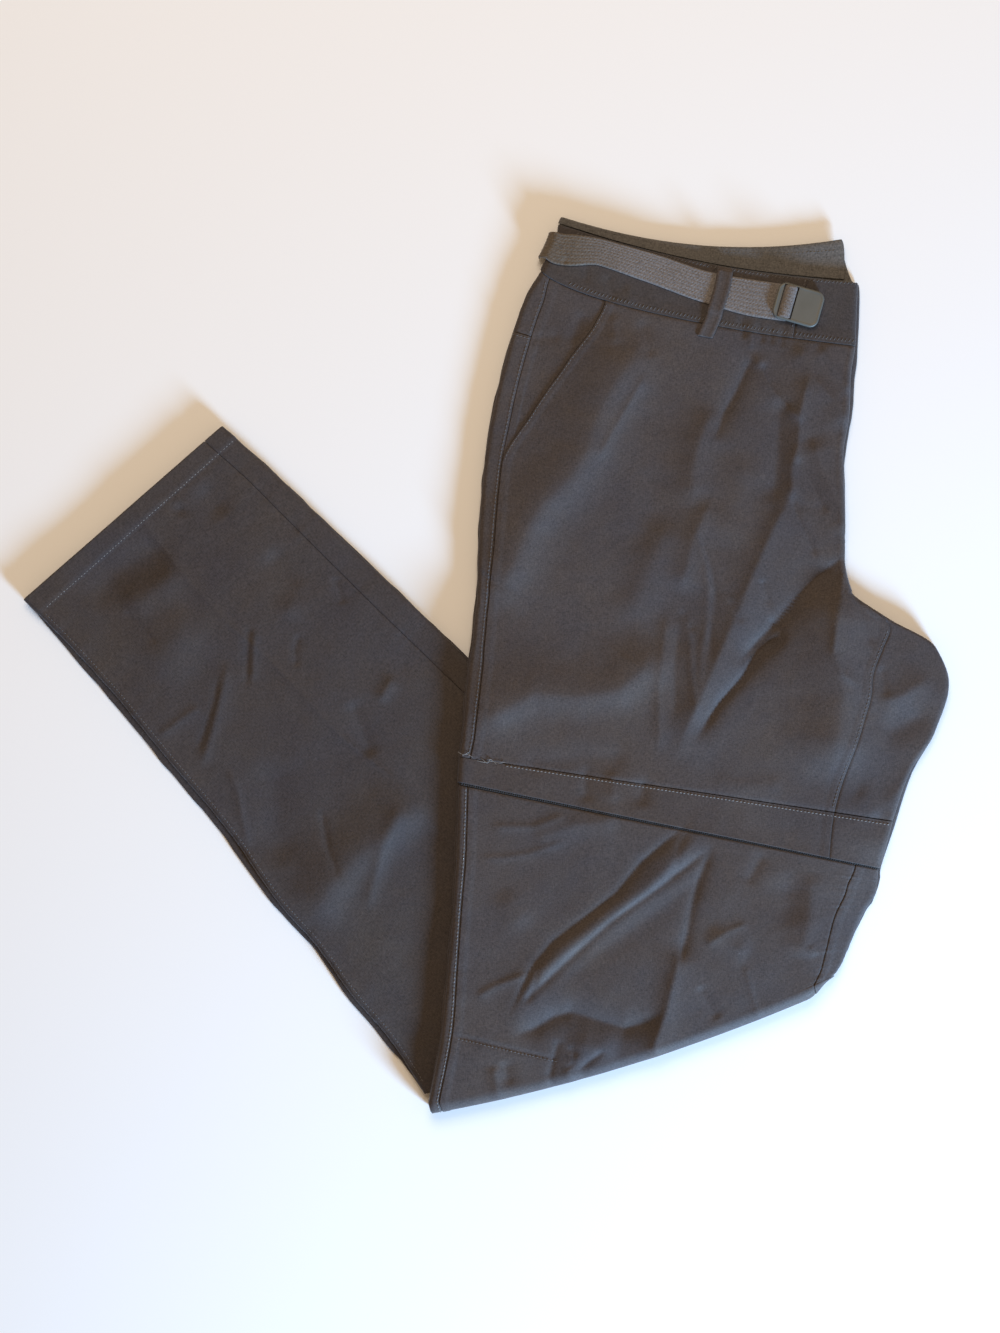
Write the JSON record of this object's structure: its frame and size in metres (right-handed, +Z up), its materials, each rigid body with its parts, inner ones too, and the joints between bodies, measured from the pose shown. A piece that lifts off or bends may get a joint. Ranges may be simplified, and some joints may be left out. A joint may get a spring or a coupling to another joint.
{
  "type": "straight-leg trousers",
  "caption": "Hiking trousers with zip-off lower legs and a webbing belt, folded in half along the centre and laid flat with the lower legs tucked under at the knee.",
  "frame": {"origin": "on the surface the trousers lie on, under the middle of their box", "axes": "+Z up out of the surface, +Y from the knee fold towards the waist, +X towards the wearer's inside leg of the upper layer"},
  "size_m": [0.6314, 0.6105, 0.0214],
  "materials": {
    "cloth": "charcoal grey plain-weave nylon, matt with a faint sheen on the folds",
    "cloth_inside": "inside of the waistband, matt warm dark grey",
    "webbing": "taupe webbing with ribs along its length",
    "buckle": "olive grey moulded plastic with a fine satin grain",
    "zip": "black zip tape"
  },
  "bodies": {
    "root": {"hidden_layers_thighs": "cloth", "hidden_layers_lower_legs": "cloth", "thigh_front": "cloth", "thigh_back_side": "cloth", "thigh_back_inner": "cloth", "yoke_back_side": "cloth", "pocket_facing": "cloth", "waistband_front": "cloth", "waistband_tab": "cloth", "waistband_back": "cloth_inside", "belt_loop": "cloth", "belt_webbing": "webbing", "belt_webbing_turn": "webbing", "belt_buckle": "buckle", "zip_cover_front": "cloth", "zip_cover_back": "cloth", "zip_tape": "zip", "knee_front": "cloth", "knee_back_side": "cloth", "knee_back_inner": "cloth", "lower_leg_front": "cloth", "lower_leg_back_outseam": "cloth", "lower_leg_back_inseam": "cloth"}
  },
  "joints": []
}
